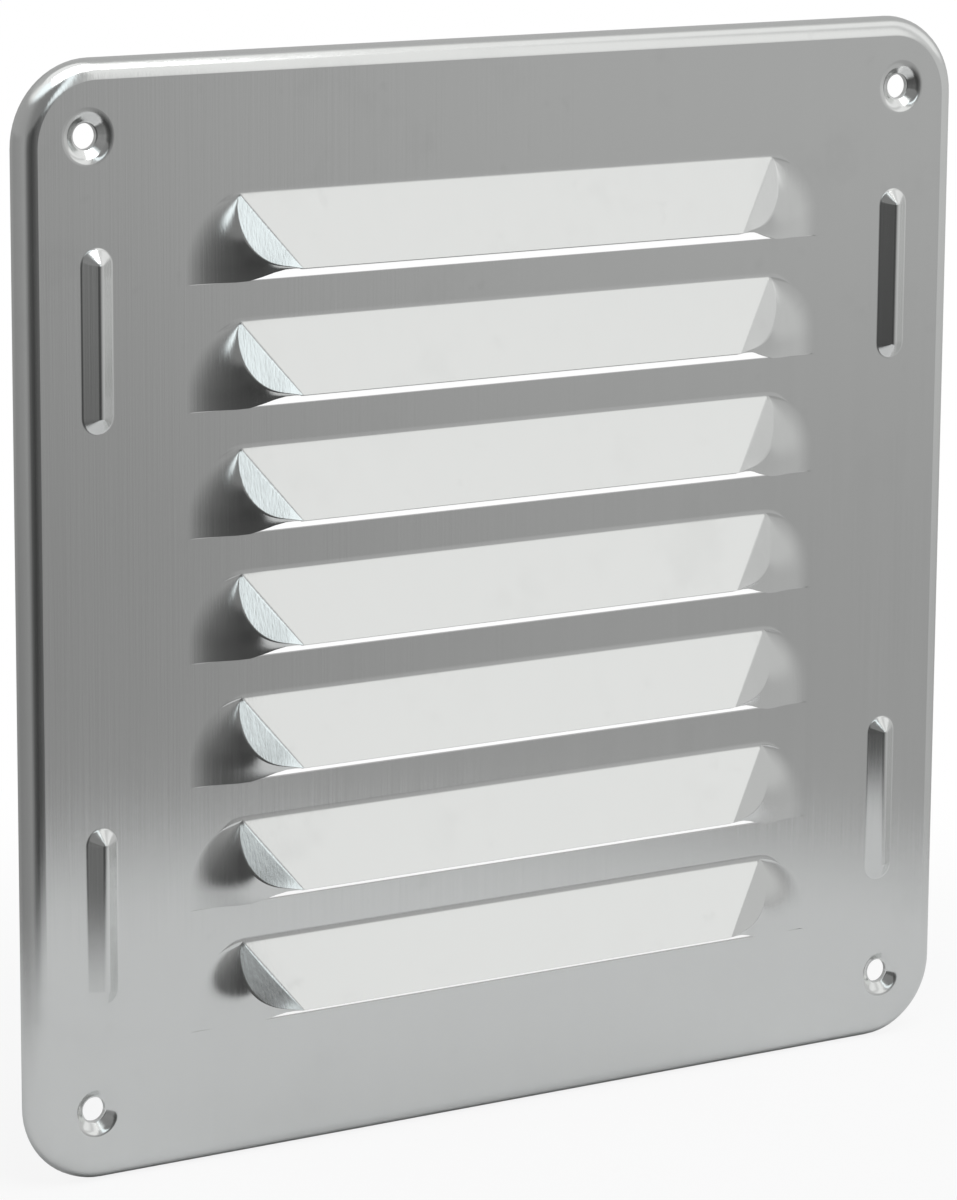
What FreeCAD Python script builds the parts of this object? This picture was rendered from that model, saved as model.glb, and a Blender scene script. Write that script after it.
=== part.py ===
"""Louvred vent grille: one square of sheet metal with seven pressed louvre hoods.

Millimetres, +Z up. The back edge of the turned rim lies on the wall plane y = 0 and
the louvres face -Y. The origin is the centre of the four screw holes, on the wall.

The sheet is what is left between two forms of like shape: the front form, bounded by
the front skin of the sheet, less the back form, which is one sheet thickness smaller.
"""
import FreeCAD, Part
import math
import os

import Sketcher
from FreeCAD import Vector

SIZES = {
    "sheet_thickness": 0.8,
    "plate_width": 200.0,
    "plate_height": 200.0,
    "corner_radius": 15.0,
    "rim_depth": 3.6,            # wall plane to the front of the flat sheet
    "rim_radius": 3.5,           # roll of the rim, at the front skin
    "louvre_count": 7,
    "louvre_pitch": 22.5,
    "louvre_height": 15.4,       # top bend to cut line
    "louvre_end_distance": 29.6, # plate edge to a hood's foot, along the cut line
    "lip_depth": 5.0,            # lip in front of the flat sheet
    "lip_rise": 2.3,             # lip above the cut line
    "louvre_bend_radius": 4.0,   # hollow bend all round a hood's foot
    "bead_edge_distance": 14.6,  # plate's side to a bead's centre line
    "bead_end_distance": 48.65,  # plate's top or bottom to a bead's centre
    "bead_length": 32.3,
    "bead_width": 6.0,
    "bead_rise": 1.75,
    "bead_bend_radius": 0.8,
    "screw_edge_distance": 13.2, # plate's edges to a hole's centre
    "screw_hole_diameter": 4.5,
    "dimple_diameter": 9.6,
    "seat_diameter": 6.0,        # flat floor of a dimple
    "dimple_edge_radius": 2.4,   # bend where the flat sheet turns into a dimple
}

NODE = "louvred_grille"
FRONT = "0"                      # inset of the form that the front skin bounds
BACK = "sizes.sheet_thickness"
ON_SURFACE = 1e-3                # how near a point counts as lying on a plane
QUARTER = 90                     # degrees
QUARTER_TURN = math.radians(QUARTER)

HOOD_END = "(sizes.plate_width / 2 - sizes.louvre_end_distance - sizes.louvre_height)"
BEAD_X = "(sizes.plate_width / 2 - sizes.bead_edge_distance)"
BEAD_Z = "(sizes.plate_height / 2 - sizes.bead_end_distance)"
SCREW_X = "(sizes.plate_width / 2 - sizes.screw_edge_distance)"
SCREW_Z = "(sizes.plate_height / 2 - sizes.screw_edge_distance)"


def make_sheet(doc):
    sheet = doc.addObject("Spreadsheet::Sheet", "sizes")
    for row, (name, value) in enumerate(SIZES.items(), start=1):
        sheet.set(f"A{row}", name)
        sheet.set(f"B{row}", str(value))
        sheet.setAlias(f"B{row}", name)
    doc.recompute()
    return sheet


def origin_plane(body, role):
    return next(item for item in body.Origin.OriginFeatures if item.Role == role)


def new_sketch(body, name, role, depth="0"):
    """A sketch parallel to an origin plane; depth is along that plane's normal."""
    sketch = body.newObject("Sketcher::SketchObject", name)
    sketch.AttachmentSupport = (origin_plane(body, role), "")
    sketch.MapMode = "FlatFace"
    sketch.setExpression("AttachmentOffset.Base.z", depth)
    return sketch


def constrain(sketch, kind, where, expression=None):
    """Adds one constraint and, where it is a size, binds it to an expression."""
    if expression is None:
        sketch.addConstraint(Sketcher.Constraint(kind, *where))
        return
    value = sketch.evalExpression(expression)
    value = getattr(value, "Value", value)
    index = sketch.addConstraint(Sketcher.Constraint(kind, *where, value))
    sketch.setExpression(f"Constraints[{index}]", expression)


def feature(body, kind, name, sizes, **settings):
    item = body.newObject("PartDesign::" + kind, name)
    for key, value in settings.items():
        setattr(item, key, value)
    for key, expression in sizes.items():
        item.setExpression(key, expression)
    body.Document.recompute()
    return item


def on_plane(edge, y):
    box = edge.BoundBox
    return abs(box.YMin - y) < ON_SURFACE and abs(box.YMax - y) < ON_SURFACE


def is_new(edge, before):
    """True for an edge that the shape before this stage didn't have."""
    centre = edge.CenterOfMass
    return all(centre.distanceToPoint(old.CenterOfMass) > ON_SURFACE for old in before.Edges)


def below_hoods(shape):
    """Edges of the planes that bound the hoods below."""
    edges = []
    for face in shape.Faces:
        if isinstance(face.Surface, Part.Plane) and face.normalAt(0, 0).z < 0:
            edges.extend(face.Edges)
    return edges


def round_edges(body, name, radius, y, before=None):
    """Fillets the edges in a plane across Y, only the new ones if a shape is given."""
    base = body.Tip
    spared = below_hoods(base.Shape)
    names = []
    for number, edge in enumerate(base.Shape.Edges, start=1):
        fresh = before is None or is_new(edge, before)
        if fresh and on_plane(edge, y) and not any(edge.isSame(other) for other in spared):
            names.append(f"Edge{number}")
    if not names:
        raise RuntimeError(f"{body.Label}: no edges for {name}")
    return feature(body, "Fillet", name, {"Radius": radius}, Base=(base, names))


def four_corners(body, name, originals):
    """Repeats features about the two centre planes, one in each quarter."""
    pattern = feature(body, "MultiTransform", name, {}, Originals=originals)
    halves = []
    for label, role in (("sides", "YZ_Plane"), ("ends", "XY_Plane")):
        mirror = body.Document.addObject("PartDesign::Mirrored", f"{name}_{label}")
        mirror.MirrorPlane = (origin_plane(body, role), [""])
        halves.append(mirror)
    pattern.Transformations = halves
    body.Tip = pattern
    body.Document.recompute()
    return pattern


def add_plate(body, inset, depth):
    """The rounded square, from the wall plane to this form's flat face."""
    sketch = new_sketch(body, "plate_outline", "XZ_Plane")
    half_x = f"sizes.plate_width / 2 - {inset}"
    half_z = f"sizes.plate_height / 2 - {inset}"
    radius = f"sizes.corner_radius - {inset}"
    wide = SIZES["plate_width"] / 2
    tall = SIZES["plate_height"] / 2
    curve = SIZES["corner_radius"]
    signs = ((1, 1), (-1, 1), (-1, -1), (1, -1))
    for quarter, (side, end) in enumerate(signs):
        centre = Vector(side * (wide - curve), end * (tall - curve), 0)
        circle = Part.Circle(centre, Vector(0, 0, 1), curve)
        start = quarter * QUARTER_TURN
        sketch.addGeometry(Part.ArcOfCircle(circle, start, start + QUARTER_TURN))
    for quarter in range(4):
        following = (quarter + 1) % 4
        begin = sketch.getPoint(quarter, 2)
        end = sketch.getPoint(following, 1)
        line = sketch.addGeometry(Part.LineSegment(begin, end))
        constrain(sketch, "Tangent", (quarter, 2, line, 1))
        constrain(sketch, "Tangent", (line, 2, following, 1))
        constrain(sketch, "Vertical" if quarter % 2 else "Horizontal", (line,))
    for quarter in range(3):
        constrain(sketch, "Equal", (quarter, quarter + 1))
    constrain(sketch, "Radius", (0,), radius)
    constrain(sketch, "Symmetric", (4, 1, 6, 1, -1, 1))
    constrain(sketch, "DistanceY", (-1, 1, 4, 1), half_z)
    constrain(sketch, "DistanceX", (-1, 1, 7, 2), half_x)
    return feature(body, "Pad", "plate", {"Length": depth}, Profile=sketch)


def draw_corner(sketch, corner, shape, expressions):
    """A right triangle from its corner: an upright leg, the slope, then a level leg."""
    upright, level = shape
    start = Vector(*corner, 0)
    top = start + Vector(0, upright, 0)
    far = start - Vector(level, 0, 0)
    for begin, end in ((start, top), (top, far), (far, start)):
        sketch.addGeometry(Part.LineSegment(begin, end))
    for line in range(3):
        constrain(sketch, "Coincident", (line, 2, (line + 1) % 3, 1))
    constrain(sketch, "Vertical", (0,))
    constrain(sketch, "Horizontal", (2,))
    constrain(sketch, "DistanceX", (0, 1, -1, 1), expressions[0])
    constrain(sketch, "DistanceY", (0, 1, -1, 1), expressions[1])
    constrain(sketch, "DistanceY", (0, 1, 0, 2), expressions[2])
    constrain(sketch, "DistanceX", (2, 1, 2, 2), expressions[3])


def repeat_louvres(body, name, originals):
    body.Tip = feature(body, "LinearPattern", name, {
        "Length": "sizes.louvre_pitch * (sizes.louvre_count - 1)",
        "Occurrences": "sizes.louvre_count",
    }, Originals=originals, Direction=(origin_plane(body, "Z_Axis"), [""]))


def louvre_sizes(inset, depth):
    """Where the lowest hood's section has its corner, and how far it runs from there."""
    slope = "(sizes.lip_depth / (sizes.louvre_height - sizes.lip_rise))"
    height = f"(sizes.louvre_height - {inset} * tan(atan({slope}) / 2))"
    bottom = "(((sizes.louvre_count - 1) * sizes.louvre_pitch + sizes.louvre_height) / 2)"
    return depth, bottom, height, f"({height} * {slope})"


def add_louvres(body, inset, depth):
    """A hood with a flat leaning face and quarter-cone ends, repeated in rows."""
    expressions = louvre_sizes(inset, depth)
    corner = [-body.evalExpression(expression) for expression in expressions[:2]]
    legs = [body.evalExpression(expression) for expression in expressions[2:]]
    hood = []
    for name, side in (("hood_right_end", ""), ("hood_left_end", "-")):
        section = new_sketch(body, f"{name}_section", "YZ_Plane", f"{side}{HOOD_END}")
        draw_corner(section, corner, legs, expressions)
        hood.append(feature(body, "Revolution", name, {}, Profile=section, Angle=QUARTER,
                            ReferenceAxis=(section, ["Edge3"]), Reversed=not side))
    hood.append(feature(body, "Pad", "hood_face", {"Length": f"2 * {HOOD_END}"}, Profile=section))
    repeat_louvres(body, "louvres", hood)


def trim_lips(body, inset, depth):
    """Cuts each hood off along the plane through its cut line and its lip."""
    front, bottom, _, rise = louvre_sizes(inset, depth)
    expressions = (f"{front} + {rise}", bottom, f"{rise} * sizes.lip_rise / sizes.lip_depth",
                   f"-{rise}")
    corner = [-body.evalExpression(expression) for expression in expressions[:2]]
    legs = [body.evalExpression(expression) for expression in expressions[2:]]
    section = new_sketch(body, "lip_section", "YZ_Plane")
    draw_corner(section, corner, legs, expressions)
    trim = feature(body, "Pocket", "lip_trim", {"Length": "sizes.plate_width"},
                   Profile=section, SideType="Symmetric")
    repeat_louvres(body, "lips", [trim])


def add_beads(body, inset, depth):
    """Upright half-round beads beside the louvres, made one and mirrored to four."""
    section = "(((sizes.bead_width / 2)^2 + sizes.bead_rise^2) / (2 * sizes.bead_rise))"
    radius = f"{section} - {inset}"
    axis_depth = f"sizes.rim_depth + sizes.bead_rise - {section}"
    run = "sizes.bead_length / 2 - sizes.bead_width / 2"

    outline = new_sketch(body, "bead_outline", "XZ_Plane", axis_depth)
    x = body.evalExpression(BEAD_X)
    z = body.evalExpression(BEAD_Z)
    reach = (SIZES["bead_length"] - SIZES["bead_width"]) / 2
    curve = SIZES["bead_width"] / 2
    upper = Part.Circle(Vector(x, z + reach, 0), Vector(0, 0, 1), curve)
    lower = Part.Circle(Vector(x, z - reach, 0), Vector(0, 0, 1), curve)
    outline.addGeometry(Part.ArcOfCircle(upper, 0, QUARTER_TURN))
    outline.addGeometry(Part.ArcOfCircle(lower, -QUARTER_TURN, 0))
    stops = ((x + curve, z + reach), (x + curve, z - reach),
             (x, z - reach - curve), (x, z + reach + curve))
    for begin, end in (stops[:2], stops[2:]):
        outline.addGeometry(Part.LineSegment(Vector(*begin, 0), Vector(*end, 0)))
    constrain(outline, "Tangent", (0, 1, 2, 1))
    constrain(outline, "Tangent", (2, 2, 1, 2))
    constrain(outline, "Coincident", (3, 1, 1, 1))
    constrain(outline, "Coincident", (3, 2, 0, 2))
    constrain(outline, "Vertical", (2,))
    constrain(outline, "Vertical", (3,))
    constrain(outline, "PointOnObject", (0, 3, 3))
    constrain(outline, "PointOnObject", (1, 3, 3))
    constrain(outline, "DistanceX", (-1, 1, 0, 3), BEAD_X)
    constrain(outline, "DistanceY", (-1, 1, 0, 3), f"{BEAD_Z} + {run}")
    constrain(outline, "DistanceY", (-1, 1, 1, 3), f"{BEAD_Z} - ({run})")
    constrain(outline, "Radius", (0,), radius)
    bead = feature(body, "Revolution", "bead", {}, Profile=outline,
                   ReferenceAxis=(outline, ["Edge4"]), Angle=180, Reversed=True)
    four_corners(body, "beads", [bead])


def add_dimples(body, inset, depth):
    """Cone-shaped dimples round the screw holes; each floor's back is on the wall."""
    floor_depth = "(sizes.rim_depth - sizes.sheet_thickness)"
    run_in = "((sizes.dimple_diameter - sizes.seat_diameter) / 2)"
    slope = f"({run_in} / {floor_depth})"
    wall = f"{inset} * sqrt(1 + {slope}^2)"
    cone = feature(body, "SubtractiveCone", "dimple", {})
    cone.AttachmentSupport = (origin_plane(body, "XZ_Plane"), "")
    cone.MapMode = "FlatFace"
    placed = {
        "AttachmentOffset.Base.x": SCREW_X,
        "AttachmentOffset.Base.y": SCREW_Z,
        "AttachmentOffset.Base.z": f"sizes.sheet_thickness - {inset}",
        "Height": floor_depth,
        "Radius1": f"sizes.seat_diameter / 2 + {wall} - {inset} * {slope}",
        "Radius2": f"sizes.dimple_diameter / 2 + {wall} - {inset} * {slope}",
    }
    for key, expression in placed.items():
        cone.setExpression(key, expression)
    body.Document.recompute()
    four_corners(body, "dimples", [cone])


def add_screw_holes(body):
    """A round hole through the floor of each dimple."""
    outline = new_sketch(body, "screw_hole_outline", "XZ_Plane", "sizes.rim_depth")
    centre = Vector(body.evalExpression(SCREW_X), body.evalExpression(SCREW_Z), 0)
    outline.addGeometry(Part.Circle(centre, Vector(0, 0, 1), SIZES["screw_hole_diameter"] / 2))
    constrain(outline, "DistanceX", (-1, 1, 0, 3), SCREW_X)
    constrain(outline, "DistanceY", (-1, 1, 0, 3), SCREW_Z)
    constrain(outline, "Diameter", (0,), "sizes.screw_hole_diameter")
    hole = feature(body, "Pocket", "screw_hole", {}, Profile=outline, Type="ThroughAll")
    four_corners(body, "screw_holes", [hole])


def make_form(doc, name, inset):
    """A solid of the sheet's outward shape, everywhere drawn in by the inset.

    The small bends of the dimples are on the front skin only.
    """
    body = doc.addObject("PartDesign::Body", name)
    depth = f"sizes.rim_depth - {inset}"
    flat = -body.evalExpression(depth)
    add_plate(body, inset, depth)
    round_edges(body, "rim_roll", f"sizes.rim_radius - {inset}", flat)
    before = body.Tip.Shape
    add_louvres(body, inset, depth)
    round_edges(body, "louvre_bends", f"sizes.louvre_bend_radius + {inset}", flat, before)
    if inset == FRONT:
        trim_lips(body, inset, depth)
    before = body.Tip.Shape
    add_beads(body, inset, depth)
    round_edges(body, "bead_bends", f"sizes.bead_bend_radius + {inset}", flat, before)
    before = body.Tip.Shape
    add_dimples(body, inset, depth)
    if inset == FRONT:
        round_edges(body, "dimple_edges", "sizes.dimple_edge_radius", flat, before)
        add_screw_holes(body)
    return body


def check(doc, solids):
    """Stops before anything is written if a feature or a solid has failed."""
    for item in doc.Objects:
        if "Invalid" in item.State or "Error" in item.State:
            raise RuntimeError(f"{item.Label} failed: {item.State}")
    for item in solids:
        if item.Shape.isNull() or not item.Shape.isValid() or len(item.Shape.Solids) != 1:
            raise RuntimeError(f"{item.Label} isn't one valid solid")


def main():
    os.makedirs("parts", exist_ok=True)
    doc = FreeCAD.newDocument("louvred_vent_grille")
    make_sheet(doc)
    front = make_form(doc, "front_form", FRONT)
    back = make_form(doc, "back_form", BACK)
    grille = doc.addObject("Part::Cut", NODE)
    grille.Label = NODE
    grille.Base = front
    grille.Tool = back
    doc.recompute()
    check(doc, (front, back, grille))
    shape = grille.Shape
    print(f"{NODE}: {shape.Volume:.0f} mm3, {len(shape.Faces)} faces")
    shape.exportStep(f"parts/{NODE}.step")


main()
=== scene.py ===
"""Louvred vent grille: a pressed aluminium sheet, and a plain pale studio round it.

Metres, +Z up. The turned rim's back edge lies on the wall plane y = 0, the louvres
face -Y, and the origin is the centre of the four screw holes. Points of the sheet's
front skin are worked out in millimetres as (x, height, out), where out is how far
a point stands in front of the flat sheet.
"""

import math
from functools import partial

import bmesh
import bpy
from bpy.props import FloatProperty, FloatVectorProperty, IntProperty, PointerProperty
from mathutils import Matrix, Vector
from mathutils.geometry import delaunay_2d_cdt


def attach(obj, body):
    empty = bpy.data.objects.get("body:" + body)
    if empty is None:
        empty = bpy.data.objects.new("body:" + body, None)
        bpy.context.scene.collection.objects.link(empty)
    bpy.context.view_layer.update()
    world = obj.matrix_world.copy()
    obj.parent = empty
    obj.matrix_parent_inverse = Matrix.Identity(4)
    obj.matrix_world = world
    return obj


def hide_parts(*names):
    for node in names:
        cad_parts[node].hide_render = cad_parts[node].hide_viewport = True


bl_info = {
    "name": "Louvred Vent Grille",
    "version": (1, 0, 0),
    "blender": (4, 5, 0),
    "location": "View3D > Sidebar > Vent Grille",
    "description": "Presses a louvred vent grille from sheet metal and sets it in a studio",
    "category": "Object",
}

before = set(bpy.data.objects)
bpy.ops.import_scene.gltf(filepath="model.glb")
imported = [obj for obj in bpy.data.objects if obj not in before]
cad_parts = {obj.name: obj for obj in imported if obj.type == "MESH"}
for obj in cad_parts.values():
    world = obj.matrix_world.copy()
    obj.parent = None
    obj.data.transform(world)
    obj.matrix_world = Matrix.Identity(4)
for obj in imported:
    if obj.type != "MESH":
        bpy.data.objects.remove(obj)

MM = 0.001
NODE = "louvred_grille"
BODY = "root"


def length(name, millimetres, description):
    return FloatProperty(name=name, description=description, default=millimetres * MM,
                         unit="LENGTH", subtype="DISTANCE", precision=4)


def share(name, value, description):
    return FloatProperty(name=name, description=description, default=value,
                         min=0.0, soft_max=1.0, subtype="FACTOR")


def colour(name, value, description):
    return FloatVectorProperty(name=name, description=description, default=value,
                               size=3, min=0.0, max=1.0, subtype="COLOR")


class GrilleSizes(bpy.types.PropertyGroup):
    sheet_thickness: length("Sheet thickness", 0.8, "Thickness of the sheet metal")
    plate_width: length("Plate width", 200.0, "Width over the turned rim")
    plate_height: length("Plate height", 200.0, "Height over the turned rim")
    corner_radius: length("Corner radius", 15.0, "Corner of the plate's outline")
    rim_depth: length("Rim depth", 3.6, "Wall plane to the front of the flat sheet")
    rim_radius: length("Rim radius", 3.5, "Roll of the rim, at the front skin")
    louvre_count: IntProperty(name="Louvres", description="Number of louvre hoods",
                              default=7, min=1)
    louvre_pitch: length("Louvre pitch", 22.5, "From one cut line to the next")
    louvre_height: length("Louvre height", 15.4, "Top bend to cut line")
    louvre_end_distance: length("Louvre end", 29.6, "Plate's edge to a hood's end")
    louvre_bend_radius: length("Louvre bend", 4.0, "Hollow bend along a hood's top")
    lip_depth: length("Lip depth", 5.0, "Lip in front of the flat sheet")
    lip_rise: length("Lip rise", 2.3, "Lip above the cut line")
    lip_length: length("Lip length", 94.4, "Straight front edge between the two creases")
    crease_spread: length("Crease spread", 9.9, "How far a crease leans out, lip to top")
    foot_corner_radius: length("Foot corner", 12.0, "Upper corner of a hood's foot")
    facet_width: length("Facet width", 4.95, "Level facet beside a crease, at its widest")
    slit_setback: length("Slit setback", 2.6, "Hood's end to where the slit closes")
    slit_gap: length("Slit gap", 0.15, "Lip above the cut line near the slit's end")
    bead_edge_distance: length("Bead to side", 14.6, "Plate's edge to a bead's middle line")
    bead_end_distance: length("Bead to top", 48.65, "Plate's edge to a bead's centre")
    bead_length: length("Bead length", 32.3, "End to end")
    bead_width: length("Bead width", 6.0, "Across the bead's foot")
    bead_rise: length("Bead rise", 1.75, "Crown in front of the flat sheet")
    bead_crown_radius: length("Bead crown", 1.2, "Roll of a bead's crown")
    bead_bend_radius: length("Bead bend", 0.8, "Hollow bend round a bead's foot")
    screw_edge_distance: length("Screw to edge", 13.2, "Plate's edges to a hole's centre")
    screw_hole_diameter: length("Screw hole", 4.5, "Diameter of a screw hole")
    dimple_depth: length("Dimple depth", 1.4, "Flat sheet to a dimple's floor")
    dimple_mouth: length("Dimple mouth", 8.6, "Where a dimple's cone would meet the flat sheet")
    dimple_edge_radius: length("Dimple edge", 2.4, "Bend from flat sheet into a dimple")
    seat_bend_radius: length("Seat bend", 0.5, "Bend between a dimple's cone and floor")


class GrilleFinish(bpy.types.PropertyGroup):
    metal: colour("Metal", (0.80, 0.81, 0.80), "Bare rolled aluminium")
    roughness: share("Roughness", 0.13, "Roughness of the clean metal")
    grain: share("Grain", 0.8, "Strength of the rolling grain")
    smudges: share("Smudges", 0.45, "Strength of the handling smudges")
    floor: colour("Floor", (0.61, 0.61, 0.615), "Pale floor, as the metal sees it")


# Shader and geometry node trees

class Tree:
    """Adds nodes to one tree; a node's settings come first, then its sockets' values."""

    def __init__(self, nodes_and_links):
        self.tree = nodes_and_links
        self.tree.nodes.clear()

    def add(self, kind, output=0, settings=None, **sockets):
        node = self.tree.nodes.new(kind)
        for key, value in (settings or {}).items():
            setattr(node, key, value)
        for key, value in sockets.items():
            self.plug(node, key, value)
        return Socket(self, node.outputs[output]) if len(node.outputs) else None

    def plug(self, node, key, value):
        """Sets or links an input, named by its label or as i and its number."""
        name = key.replace("_", " ")
        socket = node.inputs[int(name[1:])] if name[1:].isdigit() else node.inputs[name]
        if isinstance(value, Socket):
            self.tree.links.new(value.socket, socket)
        else:
            socket.default_value = value

    def maths(self, operation, *values, clamp=False):
        inputs = {f"i{number}": value for number, value in enumerate(values)}
        return self.add("ShaderNodeMath", settings={"operation": operation,
                                                    "use_clamp": clamp}, **inputs)

    def mix_colours(self, factor, first, second):
        settings = {"data_type": "RGBA", "blend_type": "MIX"}
        return self.add("ShaderNodeMix", output=2, settings=settings,
                        i0=factor, i6=first, i7=second)

    def object_place(self):
        """A point's place in its object's own coordinates."""
        place = self.add("ShaderNodeTexCoord")
        return Socket(self, place.socket.node.outputs["Object"])


class Socket:
    """A node's output that can be used in an expression; each operator adds a node."""

    def __init__(self, tree, socket):
        self.tree = tree
        self.socket = socket

    def __add__(self, other):
        return self.tree.maths("ADD", self, other)

    def __radd__(self, other):
        return self.tree.maths("ADD", other, self)

    def __sub__(self, other):
        return self.tree.maths("SUBTRACT", self, other)

    def __rsub__(self, other):
        return self.tree.maths("SUBTRACT", other, self)

    def __mul__(self, other):
        return self.tree.maths("MULTIPLY", self, other)

    def __rmul__(self, other):
        return self.tree.maths("MULTIPLY", other, self)

    def __truediv__(self, other):
        return self.tree.maths("DIVIDE", self, other)

    def clamped(self):
        return self.tree.maths("ADD", self, 0.0, clamp=True)

    def ramp(self, low, high):
        """0 up to low, 1 from high, smooth between."""
        settings = {"interpolation_type": "SMOOTHSTEP"}
        return self.tree.add("ShaderNodeMapRange", settings=settings, i0=self,
                             i1=low, i2=high)

    def part(self, axis):
        return self.tree.add("ShaderNodeSeparateXYZ", output=axis, i0=self)


def new_material(name):
    material = bpy.data.materials.new(name)
    material.use_nodes = True
    return material, Tree(material.node_tree)


# The metal

# waves per metre across and up the sheet, octaves, and how far the noise is moved
FINE_GRAIN = (2600.0, 28.0, 3.0, 3.1)
BROAD_GRAIN = (320.0, 5.0, 4.0, 7.7)
GRAIN_ROUGHNESS = 0.6
BLOTCHES = {"Scale": 38.0, "Detail": 5.0, "Roughness": 0.62}
MARKS = {"Scale": 210.0, "Detail": 2.0, "Roughness": 0.5}
BLOTCH_EDGE = (0.54, 0.74)        # noise values between which a blotch comes in
MARK_EDGE = (0.66, 0.78)
MARK_SHARE = 0.6                  # a small mark's strength beside a blotch's
SHADES = (0.84, 1.04)             # the metal's dark and light shade, as shares of its colour
MEAN_TONE = 0.72                  # the clean metal, between its dark and light shade
# what the fine grain, the broad grain and the smudges add to each
TONE_CHANGE = (0.24, 0.20, -0.30)
ROUGHNESS_CHANGE = (0.16, 0.08, 0.12)
RELIEF_SHARES = (0.6, 0.4)        # fine and broad grain in the relief
RELIEF_STRENGTH = 0.10
RELIEF_DEPTH = 0.0002


def weighed(start, parts, weights):
    """The start with each part added in its weight."""
    total = start
    for part, weight in zip(parts, weights):
        total = total + part * weight
    return total


def rolled_aluminium(finish):
    """Bare sheet as it leaves the rolls: upright grain, faint bands and a few smudges."""
    material, tree = new_material("rolled_aluminium")
    place = tree.object_place()

    def streaks(across, up, detail, start):
        stretched = tree.add("ShaderNodeMapping", i0=place, Location=3 * (start,),
                             Scale=(across, across, up))
        return tree.add("ShaderNodeTexNoise", i0=stretched, Scale=1.0, Detail=detail,
                        Roughness=GRAIN_ROUGHNESS)

    fine = streaks(*FINE_GRAIN)
    broad = streaks(*BROAD_GRAIN)
    blotches = tree.add("ShaderNodeTexNoise", i0=place, **BLOTCHES).ramp(*BLOTCH_EDGE)
    marks = tree.add("ShaderNodeTexNoise", i0=place, **MARKS).ramp(*MARK_EDGE)
    smudge = (blotches + marks * MARK_SHARE) * finish.smudges
    waves = [(noise - 0.5) * finish.grain for noise in (fine, broad)]
    tone = weighed(MEAN_TONE, waves + [smudge], TONE_CHANGE).clamped()
    roughness = weighed(finish.roughness, waves + [smudge], ROUGHNESS_CHANGE).clamped()
    dark, light = [(*(value * shade for value in finish.metal), 1.0) for shade in SHADES]
    relief = weighed(0.0, (fine, broad), RELIEF_SHARES)
    bump = tree.add("ShaderNodeBump", Strength=RELIEF_STRENGTH * finish.grain,
                    Distance=RELIEF_DEPTH, Height=relief)
    shader = tree.add("ShaderNodeBsdfPrincipled", Metallic=1.0, Roughness=roughness,
                      Base_Color=tree.mix_colours(tone, dark, light), Normal=bump)
    tree.add("ShaderNodeOutputMaterial", Surface=shader)
    return material


# Outlines and profiles, in millimetres

SUPPORT = 0.2                     # flat margin beside each bend
SEAT_BAND = 0.2                   # level band round a screw hole
DIMPLE_MARGIN = 1.6               # flat ring outside a dimple's mouth, wider than its bend
BEND_STEPS = 6
ARC_STEPS = 16                    # round a corner of the plate or an end of a bead
CIRCLE_STEPS = 48


def turn(centre, radius, start, sweep, steps):
    """Points on an arc from start through sweep, both in quarter turns."""
    points = []
    for step in range(steps + 1):
        angle = (start + sweep * step / steps) * math.pi / 2
        points.append((centre[0] + radius * math.cos(angle),
                       centre[1] + radius * math.sin(angle)))
    return points


def rounded_rectangle(half_x, half_z, radius):
    loop = []
    for quarter, (side, end) in enumerate(((1, 1), (-1, 1), (-1, -1), (1, -1))):
        centre = (side * (half_x - radius), end * (half_z - radius))
        loop += turn(centre, radius, quarter, 1, ARC_STEPS)
    return loop


def circle(centre, radius):
    return turn(centre, radius, 0, 4, CIRCLE_STEPS)[:-1]


def stadium(centre, run, radius):
    """A slot's outline with half circles at its ends, run above and below its centre."""
    x, z = centre
    return (turn((x, z + run), radius, 0, 2, ARC_STEPS)
            + turn((x, z - run), radius, 2, 2, ARC_STEPS))


def rounded_profile(points, radii):
    """Straight runs through the points, with an arc of the given radius at each corner."""
    points = [Vector(point) for point in points]
    profile = [points[0]]
    for before, corner, after, radius in zip(points, points[1:], points[2:], radii):
        back = (before - corner).normalized()
        onward = (after - corner).normalized()
        half = back.angle(onward) / 2
        centre = corner + (back + onward).normalized() * radius / math.sin(half)
        first = (corner + back * radius / math.tan(half) - centre).normalized()
        last = (corner + onward * radius / math.tan(half) - centre).normalized()
        for step in range(BEND_STEPS + 1):
            profile.append(centre + first.slerp(last, step / BEND_STEPS) * radius)
    profile.append(points[-1])
    return [tuple(point) for point in profile]


def bead_profile(half_width, rise, crown, bend):
    """From a bead's crown down its straight side and out through the hollow bend."""
    axis = rise - crown
    slope = math.asin(crown / math.hypot(half_width, axis)) + math.atan2(axis, half_width)
    reach = half_width + bend * math.tan(slope / 2)
    profile = []
    for step in range(BEND_STEPS + 1):
        angle = slope * step / BEND_STEPS
        profile.append((crown * math.sin(angle), axis + crown * math.cos(angle)))
    for step in range(BEND_STEPS + 1):
        angle = slope * (1 - step / BEND_STEPS)
        profile.append((reach - bend * math.sin(angle), bend - bend * math.cos(angle)))
    return profile + [(reach + SUPPORT, 0.0)]


# The front skin

MERGE_DISTANCE = 2e-6             # metres
OUTLINE_TOLERANCE = 1e-5          # millimetres, for the flat sheet's triangles
UPRIGHT = 1e-4                    # a face this square to the sheet belongs to the rim's wall


def crossings(point, loop):
    """How many of the loop's edges lie to the right of the point, level with it."""
    count = 0
    for (x0, z0), (x1, z1) in zip(loop, loop[1:] + loop[:1]):
        if (z0 > point.y) != (z1 > point.y):
            count += point.x < x0 + (point.y - z0) * (x1 - x0) / (z1 - z0)
    return count


def faces_inward(face):
    """True for a face that looks to the wall, or on the rim's wall to the middle."""
    if abs(face.normal.y) < UPRIGHT:
        return face.normal.dot(face.calc_center_median()) < 0
    return face.normal.y > 0


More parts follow.
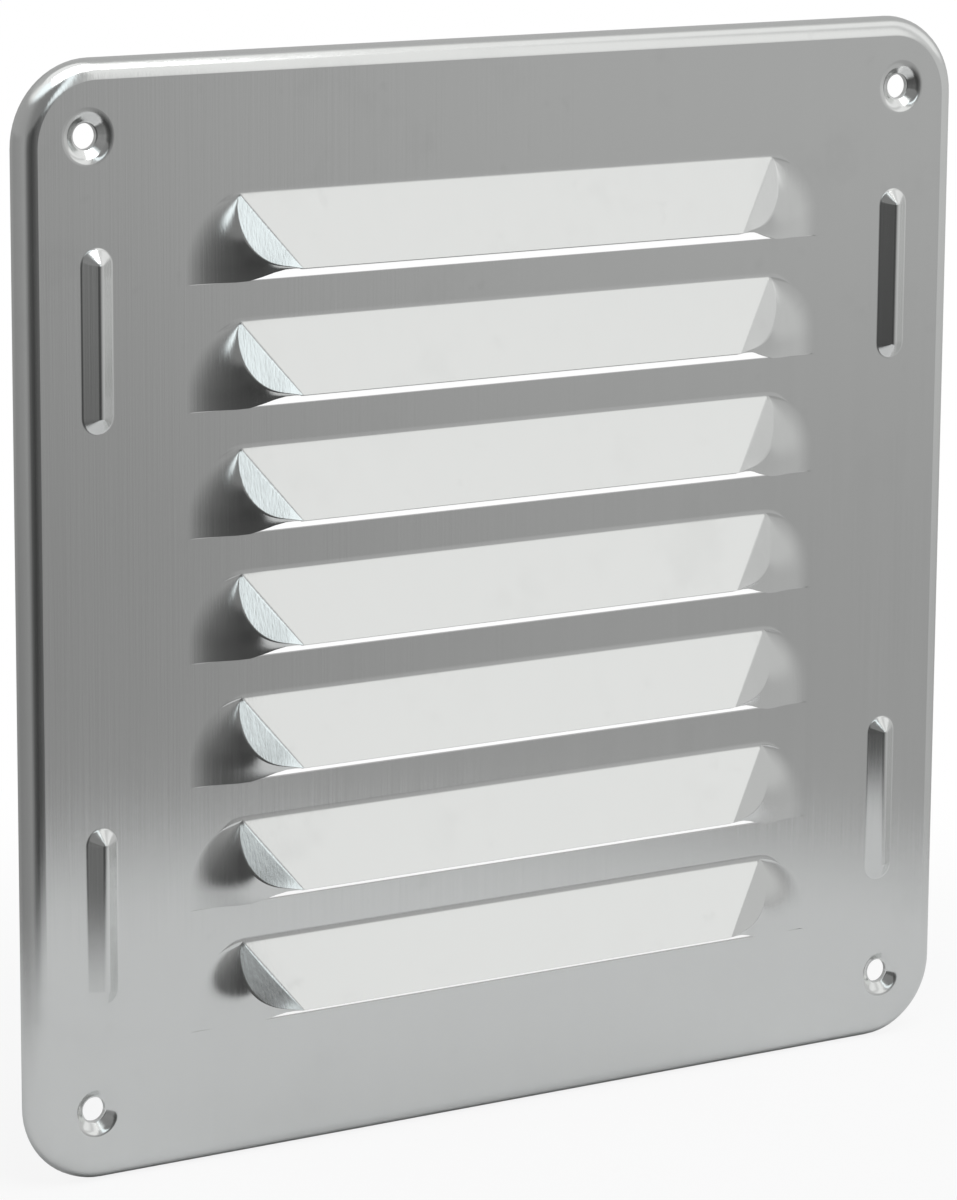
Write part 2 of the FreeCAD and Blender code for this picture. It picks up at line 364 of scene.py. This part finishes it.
class Skin:
    """The front skin of the sheet as it is put together, patch by patch."""

    def __init__(self, rim_depth):
        self.rim_depth = rim_depth
        self.points = []
        self.faces = []

    def add_grid(self, rows, closed=False):
        """Rows of (x, height, out) points, joined by four-sided faces."""
        start = len(self.points)
        width = len(rows[0])
        for row in rows:
            self.points.extend(row)
        for number in range(len(rows) - 1):
            for column in range(width if closed else width - 1):
                here = start + number * width + column
                beside = start + number * width + (column + 1) % width
                self.faces.append((here, beside, beside + width, here + width))

    def add_rings(self, outline, profile):
        """A profile of (distance, out) carried round the outline made for each distance."""
        rows = [[(*point, out) for point in outline(distance)] for distance, out in profile]
        self.add_grid(rows, closed=True)

    def add_flat(self, *loops):
        """The flat sheet inside the first loop and outside the others."""
        corners = []
        edges = []
        for loop in loops:
            first = len(corners)
            corners += [Vector(point) for point in loop]
            edges += [(first + n, first + (n + 1) % len(loop)) for n in range(len(loop))]
        points, _, triangles, *_ = delaunay_2d_cdt(corners, edges, [], 0, OUTLINE_TOLERANCE)
        start = len(self.points)
        self.points += [(point.x, point.y, 0.0) for point in points]
        for triangle in triangles:
            middle = sum((points[n] for n in triangle), Vector((0, 0))) / len(triangle)
            if sum(crossings(middle, loop) for loop in loops) % 2:
                self.faces.append(tuple(start + n for n in triangle))

    def make_object(self, name):
        """A mesh in metres with its faces towards -Y, those of the rim's wall outward."""
        mesh = bpy.data.meshes.new(name)
        sheet = bmesh.new()
        for x, z, out in self.points:
            sheet.verts.new((x * MM, -(self.rim_depth + out) * MM, z * MM))
        sheet.verts.ensure_lookup_table()
        for face in self.faces:
            sheet.faces.new([sheet.verts[n] for n in face])
        bmesh.ops.remove_doubles(sheet, verts=sheet.verts, dist=MERGE_DISTANCE)
        bmesh.ops.dissolve_degenerate(sheet, edges=sheet.edges, dist=MERGE_DISTANCE)
        for face in sheet.faces:
            face.normal_update()
            if faces_inward(face):
                face.normal_flip()
        sheet.to_mesh(mesh)
        sheet.free()
        return link(name, mesh)


def link(name, data):
    item = bpy.data.objects.new(name, data)
    bpy.context.scene.collection.objects.link(item)
    return item


# The pressed forms

def in_millimetres(sizes):
    """The sizes as plain numbers, lengths in millimetres."""
    plain = {}
    for key in GrilleSizes.__annotations__:
        value = getattr(sizes, key)
        plain[key] = value if isinstance(value, int) else round(value / MM, 4)
    return plain


def ease(share_of_way):
    """0 to 1 with a soft start and a soft end."""
    held = min(max(share_of_way, 0.0), 1.0)
    return held * held * (3 - 2 * held)


class Hood:
    """One louvre hood, its cut line at height 0, drawn for the right half and mirrored.

    The flat face ends at a straight crease. A level facet runs on from the crease to a
    second ridge, and from there a flank sinks softly into the flat sheet. Shares of the
    way are called along, from the hood's top to its lip, and part, across a patch.
    """

    STEPS = 48
    FACE_COLUMNS = (0.0, 0.5, 0.9, 0.992, 1.0)
    FACET_COLUMNS = (0.0, 0.08, 0.3, 0.7, 0.92)
    FLANK_COLUMNS = (0.0, 0.03, 0.08, 0.15, 0.24, 0.34, 0.45, 0.56, 0.66, 0.75, 0.83,
                     0.9, 0.95, 0.98, 1.0)
    BEND_COLUMNS = (0.0, 0.33, 0.66, 1.0)
    BEND_END = (0.06, 0.2)        # where the top bend starts to die out, and over how much
    LIP_RUN = (1.8, 9.0)          # the lip's edge beyond the crease: level, then falling
    LIP_POWER = 4                 # how near the lip the flank follows that edge
    SLIT_ROUND = 1.5              # over which the slit closes
    TIP_WIDTH = 19.0              # how fast the facet opens from its lower tip
    TIP_POWER = 6                 # how suddenly that opening gives way to the crescent
    CRESCENT_POWER = 0.7          # how blunt the crescent's tips are
    SWELL_POWER = 3               # how near the lip the flank swells out

    def __init__(self, s):
        self.round = s["foot_corner_radius"]
        self.reach = s["plate_width"] / 2 - s["louvre_end_distance"] - s["slit_setback"]
        self.corner = Vector((self.reach - self.round, s["louvre_height"] - self.round))
        self.lip = Vector((s["lip_length"] / 2, s["lip_rise"], s["lip_depth"]))
        self.first_run = self.lip.x + s["crease_spread"] - self.corner.x
        self.last_run = self.round * math.pi / 2 + self.corner.y
        self.top = self.foot(self.first_run)
        crease = (self.lip - self.top).xy.normalized()
        self.aside = Vector((-crease.y, crease.x, 0.0))
        self.facet = s["facet_width"]
        self.gap = s["slit_gap"]
        self.lean = s["lip_depth"] / (s["louvre_height"] - s["lip_rise"])
        self.bend = s["louvre_bend_radius"] * math.tan(math.atan(self.lean) / 2)

    def steps(self):
        """Along the crease from top to lip, closest together at both ends."""
        return [(1 - math.cos(math.pi * step / self.STEPS)) / 2
                for step in range(self.STEPS + 1)]

    def foot(self, run, outside=0.0):
        """Along the foot's outline: run is 0 where its upper corner starts to turn."""
        angle = min(max(run / self.round, 0.0), math.pi / 2)
        down = max(run - self.round * math.pi / 2, 0.0)
        x = self.corner.x + min(run, 0.0) + (self.round + outside) * math.sin(angle)
        z = self.corner.y - down + (self.round + outside) * math.cos(angle)
        return Vector((x, z, 0.0))

    def end_foot(self, along, outside=0.0):
        """The foot of the hood's end, from the crease's top to the slit's end."""
        run = self.first_run + (self.last_run - self.first_run) * along
        return self.foot(run, outside)

    def face_foot(self, part, outside=0.0):
        """The foot of the flat face, from the hood's middle to the crease's top."""
        run = (self.corner.x + self.first_run) * part - self.corner.x
        return self.foot(run, outside)

    def inside(self, point):
        """How far a point lies inside the foot."""
        beyond = max(0.0, point.x - self.corner.x)
        above = max(0.0, point.y - self.corner.y)
        return self.round - math.hypot(beyond, above)

    def bend_at(self, along):
        """Half the width of the foot's bend, which dies out round the corner."""
        start, over = self.BEND_END
        return self.bend * (1 - ease((along - start) / over))

    def settled(self, point, bend):
        """The point with the hollow bend along the foot taken into account."""
        depth = self.inside(point)
        if abs(depth) < bend:
            hollow = (depth + bend) ** 2 / (4 * bend) - max(depth, 0.0)
            return (point.x, point.y, point.z + self.lean * hollow)
        return tuple(point)

    def lowered(self, point, along):
        """The point moved to the lip's S-shaped edge, less and less up the flank."""
        short = self.reach - point.x
        straight = self.lip.y * short / (self.reach - self.lip.x)
        level, falling = self.LIP_RUN
        high = 1 - ease((point.x - self.lip.x - level) / falling)
        edge = self.gap * ease(short / self.SLIT_ROUND) + (self.lip.y - self.gap) * high
        drop = (straight - min(edge, self.lip.y)) * along ** self.LIP_POWER
        return Vector((point.x, point.y - drop, point.z))

    def facet_at(self, along):
        """The facet's width: a crescent, held short of the lip's edge at its lower tip."""
        if along in (0.0, 1.0):
            return 0.0
        free = self.facet * math.sin(math.pi * along) ** self.CRESCENT_POWER
        held = self.TIP_WIDTH * (1 - along)
        power = self.TIP_POWER
        return free * held / (free ** power + held ** power) ** (1 / power)

    def end_row(self, along):
        """From the crease over the second ridge to the foot."""
        crease = self.top.lerp(self.lip, along)
        ridge = crease + self.aside * self.facet_at(along)
        foot = self.end_foot(along)
        swell = along ** self.SWELL_POWER
        row = []
        for part in self.FLANK_COLUMNS:
            point = ridge.lerp(foot, part)
            point.z = ridge.z * (1 - part) ** 2 * (1 + swell * part)
            moves = part < 1 and point.x > self.lip.x
            row.append(self.lowered(point, along) if moves else point)
        facet = [crease.lerp(row[0], part) for part in self.FACET_COLUMNS]
        return [self.settled(point, self.bend_at(along)) for point in facet + row]

    def face_row(self, along):
        """From the hood's middle to the crease."""
        row = []
        for part in self.FACE_COLUMNS:
            lip = Vector((self.lip.x * part, self.lip.y, self.lip.z))
            row.append(self.settled(self.face_foot(part).lerp(lip, along), self.bend))
        return row

    def end_margin(self, along):
        """From the foot of the hood's end out to the flat sheet."""
        bend = self.bend_at(along)
        row = [self.settled(self.end_foot(along, bend * part), bend)
               for part in self.BEND_COLUMNS]
        return row + [tuple(self.end_foot(along, bend + SUPPORT))]

    def top_margin(self, outside):
        """Above the flat face, this far outside its foot."""
        return [self.settled(self.face_foot(part, outside), self.bend)
                for part in self.FACE_COLUMNS]

    def half(self):
        """The patches of the right half, each a list of rows."""
        patches = [[row(along) for along in self.steps()]
                   for row in (self.face_row, self.end_row, self.end_margin)]
        levels = [self.bend * part for part in self.BEND_COLUMNS] + [self.bend + SUPPORT]
        return patches + [[self.top_margin(outside) for outside in levels]]

    def outline(self):
        """The edge of the flat sheet round a hood: its margin, then the cut line."""
        level = [self.face_foot(part, self.bend + SUPPORT) for part in self.FACE_COLUMNS[:-1]]
        right = [self.end_foot(along, self.bend_at(along) + SUPPORT)
                 for along in self.steps()]
        half = [(point.x, point.y) for point in level + right] + [(self.reach, 0.0)]
        return half + [(-x, z) for x, z in reversed(half[1:])]

    def add_to(self, skin):
        for patch in self.half():
            skin.add_grid(patch)
            skin.add_grid([[(-x, z, out) for x, z, out in row] for row in patch])


TILE_MARGIN = 3.6                 # from the hoods' ends to the sides of their tiles


def four_places(s, from_side, from_end):
    """The four points that lie this far in from the plate's edges."""
    x = s["plate_width"] / 2 - from_side
    z = s["plate_height"] / 2 - from_end
    return [(side * x, end * z) for side in (1, -1) for end in (1, -1)]


def tile_half_width(s):
    return s["plate_width"] / 2 - s["louvre_end_distance"] + TILE_MARGIN


def half_land(s):
    """Half of the flat strip between one louvre's cut line and the next one's top."""
    return (s["louvre_pitch"] - s["louvre_height"]) / 2


def tile_box(s):
    """One louvre's share of the flat sheet, from the middle of a land to the next."""
    x = tile_half_width(s)
    low = -half_land(s)
    top = s["louvre_height"] + half_land(s)
    return [(-x, low), (x, low), (x, top), (-x, top)]


def lowest_cut(s):
    return -((s["louvre_count"] - 1) * s["louvre_pitch"] + s["louvre_height"]) / 2


def block_loop(s):
    """The rectangle that the louvre tiles fill, with a point at each tile's corners."""
    x = tile_half_width(s)
    low = lowest_cut(s) - half_land(s)
    levels = [low + s["louvre_pitch"] * n for n in range(s["louvre_count"] + 1)]
    return [(x, z) for z in levels] + [(-x, z) for z in reversed(levels)]


def rim_outline(s, inset):
    return rounded_rectangle(s["plate_width"] / 2 - inset, s["plate_height"] / 2 - inset,
                             s["corner_radius"] - inset)


def add_rim(skin, s):
    """The turned rim; gives back the flat sheet's outer edge."""
    inner = s["rim_radius"] + SUPPORT
    section = [(0.0, -s["rim_depth"]), (0.0, 0.0), (inner, 0.0)]
    skin.add_rings(partial(rim_outline, s), rounded_profile(section, [s["rim_radius"]]))
    return rim_outline(s, inner)


def add_dimples(skin, s):
    """A cone-shaped dimple round each screw hole; gives back their outer edges."""
    hole = s["screw_hole_diameter"] / 2
    mouth = s["dimple_mouth"] / 2
    section = [(hole, -s["dimple_depth"]), (hole + SEAT_BAND, -s["dimple_depth"]),
               (mouth, 0.0), (mouth + DIMPLE_MARGIN, 0.0)]
    profile = rounded_profile(section, [s["seat_bend_radius"], s["dimple_edge_radius"]])
    edges = []
    for centre in four_places(s, s["screw_edge_distance"], s["screw_edge_distance"]):
        skin.add_rings(partial(circle, centre), profile)
        edges.append(circle(centre, profile[-1][0]))
    return edges


def add_beads(skin, s):
    """Upright beads beside the louvres; gives back their outer edges."""
    profile = bead_profile(s["bead_width"] / 2, s["bead_rise"], s["bead_crown_radius"],
                           s["bead_bend_radius"])
    run = (s["bead_length"] - s["bead_width"]) / 2
    edges = []
    for centre in four_places(s, s["bead_edge_distance"], s["bead_end_distance"]):
        skin.add_rings(partial(stadium, centre, run), profile)
        edges.append(stadium(centre, run, profile[-1][0]))
    return edges


def surround_skin(s):
    """The turned rim, the dimples, the beads and the flat sheet round the louvres."""
    skin = Skin(s["rim_depth"])
    edge = add_rim(skin, s)
    skin.add_flat(edge, block_loop(s), *add_dimples(skin, s), *add_beads(skin, s))
    return skin


def louvre_skin(s):
    """One louvre hood in its share of the flat sheet."""
    skin = Skin(s["rim_depth"])
    hood = Hood(s)
    hood.add_to(skin)
    skin.add_flat(tile_box(s), hood.outline())
    return skin


# Pressing the whole sheet

ROWS_INPUTS = {"Sheet": "Geometry", "Louvre": "Object", "Count": "Int", "Pitch": "Float",
               "Lowest": "Float", "Metal": "Material"}
SHARP = math.radians(50)          # from here on an edge is a crease or a cut
FLAT = 0.99999                    # a normal this near to Y belongs to the flat sheet


def louvre_rows():
    """Geometry nodes that set one louvre tile in rows into the sheet round them."""
    group = bpy.data.node_groups.new("louvre_rows", "GeometryNodeTree")
    for name, kind in ROWS_INPUTS.items():
        group.interface.new_socket(name, in_out="INPUT", socket_type=f"NodeSocket{kind}")
    group.interface.new_socket("Grille", in_out="OUTPUT", socket_type="NodeSocketGeometry")
    tree = Tree(group)
    start = tree.add("NodeGroupInput").socket.node

    def given(name):
        return Socket(tree, start.outputs[name])

    first = tree.add("ShaderNodeCombineXYZ", Z=given("Lowest"))
    step = tree.add("ShaderNodeCombineXYZ", Z=given("Pitch"))
    rows = tree.add("GeometryNodeMeshLine", Count=given("Count"), Start_Location=first,
                    Offset=step)
    louvre = tree.add("GeometryNodeObjectInfo", output="Geometry", Object=given("Louvre"))
    placed = tree.add("GeometryNodeInstanceOnPoints", Points=rows, Instance=louvre)
    solid = tree.add("GeometryNodeRealizeInstances", Geometry=placed)
    joined = tree.add("GeometryNodeJoinGeometry", Geometry=solid)
    tree.plug(joined.socket.node, "Geometry", given("Sheet"))
    merged = tree.add("GeometryNodeMergeByDistance", Geometry=joined, Distance=MERGE_DISTANCE)
    whole = tree.add("GeometryNodeRealizeInstances", Geometry=merged)
    dressed = tree.add("GeometryNodeSetMaterial", Geometry=whole, Material=given("Metal"))
    tree.add("NodeGroupOutput", Grille=dressed)
    return group


def set_inputs(modifier, **values):
    """Sets a geometry nodes modifier's named inputs by their sockets' identifiers."""
    for item in modifier.node_group.interface.items_tree:
        if item.item_type == "SOCKET" and item.in_out == "INPUT" and item.name in values:
            modifier[item.identifier] = values[item.name]


def modified_mesh(context, item):
    """The mesh that an object's modifiers make of it."""
    context.view_layer.update()
    evaluated = item.evaluated_get(context.evaluated_depsgraph_get())
    return bpy.data.meshes.new_from_object(evaluated)


def set_shading(mesh):
    """Soft shading over the bends, hard cut edges, and the flat sheet left dead flat."""
    sheet = bmesh.new()
    sheet.from_mesh(mesh)
    for edge in sheet.edges:
        edge.smooth = edge.calc_face_angle(math.pi) < SHARP
    for face in sheet.faces:
        face.smooth = abs(face.normal.y) < FLAT
    sheet.to_mesh(mesh)
    sheet.free()


class GRILLE_OT_press(bpy.types.Operator):
    """Presses the whole grille from one sheet: rim, louvres, beads and dimples"""
    bl_idname = "grille.press"
    bl_label = "Press the Grille"

    def execute(self, context):
        s = in_millimetres(context.scene.grille_sizes)
        metal = rolled_aluminium(context.scene.grille_finish)
        tile = louvre_skin(s)
        louvre = tile.make_object("louvre_tile")
        sheet = surround_skin(s).make_object("pressed_sheet")
        rows = sheet.modifiers.new("rows", "NODES")
        rows.node_group = louvre_rows()
        set_inputs(rows, Louvre=louvre, Count=s["louvre_count"], Metal=metal,
                   Pitch=s["louvre_pitch"] * MM, Lowest=lowest_cut(s) * MM)
        wall = sheet.modifiers.new("wall", "SOLIDIFY")
        wall.thickness = s["sheet_thickness"] * MM
        wall.offset = -1.0
        wall.use_even_offset = True
        mesh = modified_mesh(context, sheet)
        if not mesh.materials or len(mesh.polygons) < s["louvre_count"] * len(tile.faces):
            raise RuntimeError("the pressed sheet came out without its louvres or its metal")
        sheet.modifiers.clear()
        sheet.data = mesh
        bpy.data.objects.remove(louvre)
        set_shading(mesh)
        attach(sheet, BODY)
        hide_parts(NODE)
        return {"FINISHED"}


# The studio

FLOOR_RADIUS = 0.30
FLOOR_ROUGHNESS = 0.9
FLOOR_LOST = (0.6, 0.97)          # shares of the radius over which reflections lose the floor
FLOOR_FADE = (0.5, 0.95)          # and over which its shadow fades for the camera
FLOOR_WHITE = 0.88                # how much of the background shows through it
AMBIENT = 0.7                     # how strongly the white world lights matt surfaces
SURROUND_RADIUS = 2.6
RING_STEPS = 96
BAND_SPAN = (-3.0, 6.0)
WALL_SHADOW = (-0.55, -0.15)      # heights between which the walls lose their shadow
WALL_DEPTH = 0.2                  # how much darker the walls are below
HORIZON = (0.30, 0.55)            # heights between which the walls give way to the sky
SKY_CHANGE = (2.1, 3.1)           # and the low sky to the high one
COOL = (1.16, 1.25, 1.28)
NEUTRAL = (0.94, 0.94, 0.935)
BLACK = (0.0, 0.0, 0.0, 1.0)
WHITE = (1.0, 1.0, 1.0, 1.0)
# degrees round from the front, right-hand side positive, and the grey or colour there
WALL_SHADES = (
    (-180, 0.42), (-153, 0.42), (-120, 0.30), (-80, 0.33), (-55, 0.37), (-43, 0.27),
    (-33, 0.13), (-23, 0.085), (-10, 0.065), (0, 0.10), (10, 0.16), (18, 0.26), (26, 0.38),
    (33, 0.46), (42, 0.47), (55, 0.60), (90, 0.58), (130, 0.5), (180, 0.42),
)
LOW_SKY_SHADES = (
    (-180, 0.42), (-90, 0.38), (-60, 0.36), (-45, 0.30), (-30, 0.24), (4, 0.22), (8, COOL),
    (15, COOL), (17, 0.45), (24, 0.45), (26, NEUTRAL), (44, NEUTRAL), (52, 0.66), (58, 0.72),
    (68, 0.95), (90, 0.85), (105, 0.52), (180, 0.48),
)
HIGH_SKY_SHADES = (
    (-180, 0.45), (-130, 0.5), (-95, NEUTRAL), (-60, COOL), (-30, COOL), (25, NEUTRAL),
    (85, NEUTRAL), (105, 0.52), (180, 0.45),
)


def floor_material(finish):
    """Pale and matt; to the camera it runs out into the white background.

    The metal sees the floor only near the grille: further out it gives way to the walls.
    """
    material, tree = new_material("pale_floor")
    distance = tree.add("ShaderNodeVectorMath", output="Value",
                        settings={"operation": "LENGTH"}, i0=tree.object_place())
    camera = tree.add("ShaderNodeLightPath", output="Is Camera Ray")
    matt = tree.add("ShaderNodeBsdfPrincipled", Base_Color=(*finish.floor, 1.0),
                    Roughness=FLOOR_ROUGHNESS)
    clear = tree.add("ShaderNodeBsdfTransparent")
    white = tree.add("ShaderNodeEmission", Strength=1.0)
    out = distance / FLOOR_RADIUS
    lost = out.ramp(*FLOOR_LOST) * (1.0 - camera)
    seen = tree.add("ShaderNodeMixShader", i0=lost, i1=matt, i2=clear)
    fade = camera * (FLOOR_WHITE + out.ramp(*FLOOR_FADE) * (1.0 - FLOOR_WHITE))
    shader = tree.add("ShaderNodeMixShader", i0=fade, i1=seen, i2=white)
    tree.add("ShaderNodeOutputMaterial", Surface=shader)
    return material


def shade_ramp(tree, around, shades):
    """A ramp of the shades, over the share of a whole turn that around gives."""
    ramp = tree.add("ShaderNodeValToRGB", Fac=around)
    stops = ramp.socket.node.color_ramp.elements
    while len(stops) < len(shades):
        stops.new(0.5)
    for stop, (degrees, shade) in zip(stops, shades):
        stop.position = degrees / 360 + 0.5
        stop.color = (*(shade if isinstance(shade, tuple) else 3 * (shade,)), 1.0)
    return ramp


def surround_material():
    """What the metal mirrors round the stage: dim walls, a low sky and a high sky."""
    material, tree = new_material("studio_surround")
    place = tree.object_place()
    height = place.part(2)
    azimuth = tree.maths("ARCTAN2", place.part(0), 0.0 - place.part(1))
    around = azimuth / (2 * math.pi) + 0.5
    walls, low_sky, high_sky = [shade_ramp(tree, around, shades)
                                for shades in (WALL_SHADES, LOW_SKY_SHADES, HIGH_SKY_SHADES)]
    shadow = (1.0 - height.ramp(*WALL_SHADOW)) * WALL_DEPTH
    shaded_walls = tree.mix_colours(shadow, walls, BLACK)
    sky = tree.mix_colours(height.ramp(*SKY_CHANGE), low_sky, high_sky)
    all_round = tree.mix_colours(height.ramp(*HORIZON), shaded_walls, sky)
    glow = tree.add("ShaderNodeEmission", Color=all_round, Strength=1.0)
    tree.add("ShaderNodeOutputMaterial", Surface=glow)
    return material


def white_world():
    """White to the camera and in reflections, and a softer light on matt surfaces."""
    world = bpy.data.worlds.new("white_studio")
    bpy.context.scene.world = world
    world.use_nodes = True
    tree = Tree(world.node_tree)
    rays = tree.add("ShaderNodeLightPath").socket.node
    seen = [Socket(tree, rays.outputs[f"Is {kind} Ray"])
            for kind in ("Camera", "Glossy", "Transmission")]
    shown = (seen[0] + seen[1] + seen[2]).clamped()
    strength = AMBIENT + shown * (1.0 - AMBIENT)
    light = tree.add("ShaderNodeBackground", Color=WHITE, Strength=strength)
    tree.add("ShaderNodeOutputWorld", Surface=light)


def stage_mesh(name, points, faces, material):
    mesh = bpy.data.meshes.new(name)
    mesh.from_pydata(points, [], faces)
    mesh.materials.append(material)
    item = link(name, mesh)
    return item


def ring(radius, height):
    """A level circle of points round the middle of the stage."""
    return [(radius * math.cos(2 * math.pi * n / RING_STEPS),
             radius * math.sin(2 * math.pi * n / RING_STEPS), height)
            for n in range(RING_STEPS)]


def add_floor(sizes, finish):
    """A disc that the grille stands on."""
    outline = ring(FLOOR_RADIUS, -sizes.plate_height / 2)
    stage_mesh("floor", outline, [range(RING_STEPS)], floor_material(finish))


def add_surround():
    """An upright band round the stage that the metal mirrors and the camera doesn't see."""
    low, high = [ring(SURROUND_RADIUS, height) for height in BAND_SPAN]
    faces = [(n, (n + 1) % RING_STEPS, (n + 1) % RING_STEPS + RING_STEPS, n + RING_STEPS)
             for n in range(RING_STEPS)]
    band = stage_mesh("studio_surround", low + high, faces, surround_material())
    band.visible_camera = False


# fitted to the photograph's outline, louvres and screw holes
CAMERA_PLACE = (-0.48529, -0.75514, 0.18219)
CAMERA_FORWARD = (0.52558, 0.82620, -0.20287)
CAMERA_ROLL = math.radians(0.36)
CAMERA_LENS = 149.3
CAMERA_NEAR = 0.05

SOFTBOX_PLACE = (0.1, -0.5, 1.3)
SOFTBOX_WIDTH = 0.9
SOFTBOX_WATTS = 9.0


def add_camera():
    data = bpy.data.cameras.new("camera")
    data.lens = CAMERA_LENS
    data.clip_start = CAMERA_NEAR
    camera = link("camera", data)
    forward = Vector(CAMERA_FORWARD).normalized()
    right = forward.cross(Vector((0, 0, 1))).normalized()
    up = right.cross(forward)
    rolled = right * math.cos(CAMERA_ROLL) + up * math.sin(CAMERA_ROLL)
    axes = Matrix((rolled, rolled.cross(forward), -forward)).transposed()
    camera.matrix_world = Matrix.Translation(CAMERA_PLACE) @ axes.to_4x4()
    bpy.context.scene.camera = camera


def add_softbox():
    """A square overhead lamp that is aimed at the grille's middle."""
    data = bpy.data.lights.new("overhead_softbox", "AREA")
    data.shape = "SQUARE"
    data.size = SOFTBOX_WIDTH
    data.energy = SOFTBOX_WATTS
    lamp = link("overhead_softbox", data)
    lamp.location = SOFTBOX_PLACE
    lamp.rotation_mode = "QUATERNION"
    lamp.rotation_quaternion = (-lamp.location).to_track_quat("-Z", "Y")


class GRILLE_OT_stage(bpy.types.Operator):
    """Sets the floor, the studio walls, the lamp, the white background and the camera"""
    bl_idname = "grille.stage"
    bl_label = "Set the Stage"

    def execute(self, context):
        add_floor(context.scene.grille_sizes, context.scene.grille_finish)
        add_surround()
        add_softbox()
        white_world()
        add_camera()
        context.scene.view_settings.view_transform = "Standard"
        return {"FINISHED"}


class GRILLE_PT_panel(bpy.types.Panel):
    """The grille's sizes and finish, and the steps that make it"""
    bl_label = "Vent Grille"
    bl_idname = "GRILLE_PT_panel"
    bl_space_type = "VIEW_3D"
    bl_region_type = "UI"
    bl_category = "Vent Grille"

    def draw(self, context):
        column = self.layout.column()
        for group in (context.scene.grille_sizes, context.scene.grille_finish):
            for key in type(group).__annotations__:
                column.prop(group, key)
        for operator in (GRILLE_OT_press, GRILLE_OT_stage):
            column.operator(operator.bl_idname)


CLASSES = (GrilleSizes, GrilleFinish, GRILLE_OT_press, GRILLE_OT_stage, GRILLE_PT_panel)


def register():
    for item in CLASSES:
        bpy.utils.register_class(item)
    bpy.types.Scene.grille_sizes = PointerProperty(type=GrilleSizes)
    bpy.types.Scene.grille_finish = PointerProperty(type=GrilleFinish)


def unregister():
    del bpy.types.Scene.grille_finish
    del bpy.types.Scene.grille_sizes
    for item in reversed(CLASSES):
        bpy.utils.unregister_class(item)


def main():
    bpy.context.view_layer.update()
    register()
    bpy.ops.grille.press()
    bpy.ops.grille.stage()


if __name__ == "__main__":
    main()
